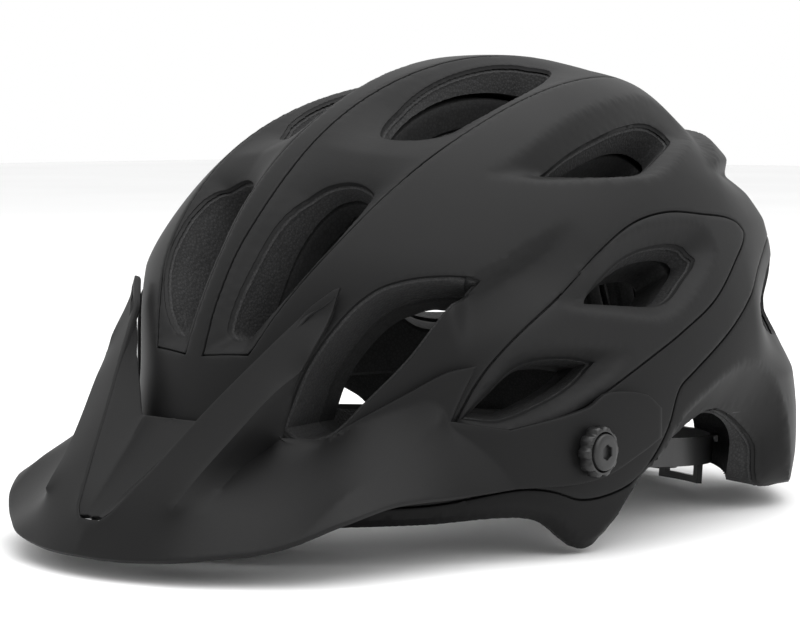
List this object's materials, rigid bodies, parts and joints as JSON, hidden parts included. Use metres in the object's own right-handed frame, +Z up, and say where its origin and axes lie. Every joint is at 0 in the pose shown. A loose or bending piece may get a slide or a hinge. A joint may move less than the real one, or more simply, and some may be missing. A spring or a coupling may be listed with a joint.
{
  "type": "cycling helmet",
  "caption": "Open-face trail cycling helmet: ribbed vented shell, two-layer slip liner, pivoting visor on side knobs, and a dial-fit cradle at the back.",
  "frame": {"origin": "centre of the wearer's head, where the two liners slip", "axes": "+X wearer's left, +Y back of the head, +Z up"},
  "size_m": [0.222, 0.3212, 0.162],
  "materials": {
    "shell": "matte in-mould polycarbonate skin",
    "panel": "finely textured matte polycarbonate",
    "foam": "black expanded polystyrene with visible beads",
    "inner_foam": "smooth moulded dark foam",
    "visor": "matte injection-moulded nylon",
    "knob": "satin moulded plastic",
    "bolt": "black anodised, satin",
    "brass": "turned",
    "nylon": "satin black nylon",
    "elastomer": "soft-touch rubber",
    "pad": "black wicking knit over foam"
  },
  "bodies": {
    "helmet": {"upper_shell": "shell", "lower_shell": "shell", "side_panel_left": "panel", "side_panel_right": "panel", "channel_panel_left": "panel", "channel_panel_right": "panel", "outer_liner": "foam", "front_strap_anchors": "nylon", "rear_strap_anchors": "nylon", "visor_washer_left": "nylon", "visor_washer_right": "nylon", "visor_nut_left": "brass", "visor_nut_right": "brass"},
    "visor": {"visor_shell": "visor", "visor_insert": "visor"},
    "knob_left": {"visor_knob_left": "knob", "visor_bolt_left": "bolt"},
    "knob_right": {"visor_knob_right": "knob", "visor_bolt_right": "bolt"},
    "inner_liner": {"inner_liner": "inner_foam", "slip_plugs": "elastomer", "brow_pad": "pad", "crown_pad": "pad", "side_pad_left": "pad", "side_pad_right": "pad", "rear_pad": "pad", "temple_hanger_left": "nylon", "temple_hanger_right": "nylon", "height_rail": "nylon"},
    "cradle": {"cradle_frame": "nylon", "dial_housing": "nylon"},
    "dial": {"fit_dial": "elastomer", "dial_pinion": "nylon"},
    "belt_left": {"fit_belt_left": "nylon"},
    "belt_right": {"fit_belt_right": "nylon"}
  },
  "joints": [
    {"name": "visor_tilt", "type": "hinge", "parent": "helmet", "child": "visor", "pos_m": [0, -0.059, -0.005], "axis": [-1, 0, 0], "range_deg": [0, 8]},
    {"name": "knob_left_turn", "type": "hinge", "parent": "helmet", "child": "knob_left", "pos_m": [0.1, -0.059, -0.005], "axis": [1, 0, 0], "range_deg": [0, 540]},
    {"name": "knob_right_turn", "type": "hinge", "parent": "helmet", "child": "knob_right", "pos_m": [-0.1, -0.059, -0.005], "axis": [-1, 0, 0], "range_deg": [0, 540]},
    {"name": "liner_slip", "type": "hinge", "parent": "helmet", "child": "inner_liner", "pos_m": [0, 0, 0], "axis": [1, 0, 0], "range_deg": [-3, 3], "stiffness_Nm_per_rad": 6},
    {"name": "cradle_height", "type": "hinge", "parent": "inner_liner", "child": "cradle", "pos_m": [0, -0.045, -0.01], "axis": [1, 0, 0], "range_deg": [-1, 1]},
    {"name": "dial_turn", "type": "hinge", "parent": "cradle", "child": "dial", "pos_m": [0, 0.10538, -0.02369], "axis": [0, 0.9959, -0.0906], "range_deg": [0, 200]},
    {"name": "belt_left_slide", "type": "hinge", "parent": "cradle", "child": "belt_left", "pos_m": [0, 0.01973, -0.01589], "axis": [0, 0.0906, 0.9959], "range_deg": [0, 7]},
    {"name": "belt_right_slide", "type": "hinge", "parent": "cradle", "child": "belt_right", "pos_m": [0, 0.01973, -0.01589], "axis": [0, 0.0906, 0.9959], "range_deg": [-7, 0]}
  ],
  "couplings": [
    {"joint": "belt_left_slide", "follows": "dial_turn", "ratio": 0.0315},
    {"joint": "belt_right_slide", "follows": "dial_turn", "ratio": -0.0315}
  ]
}
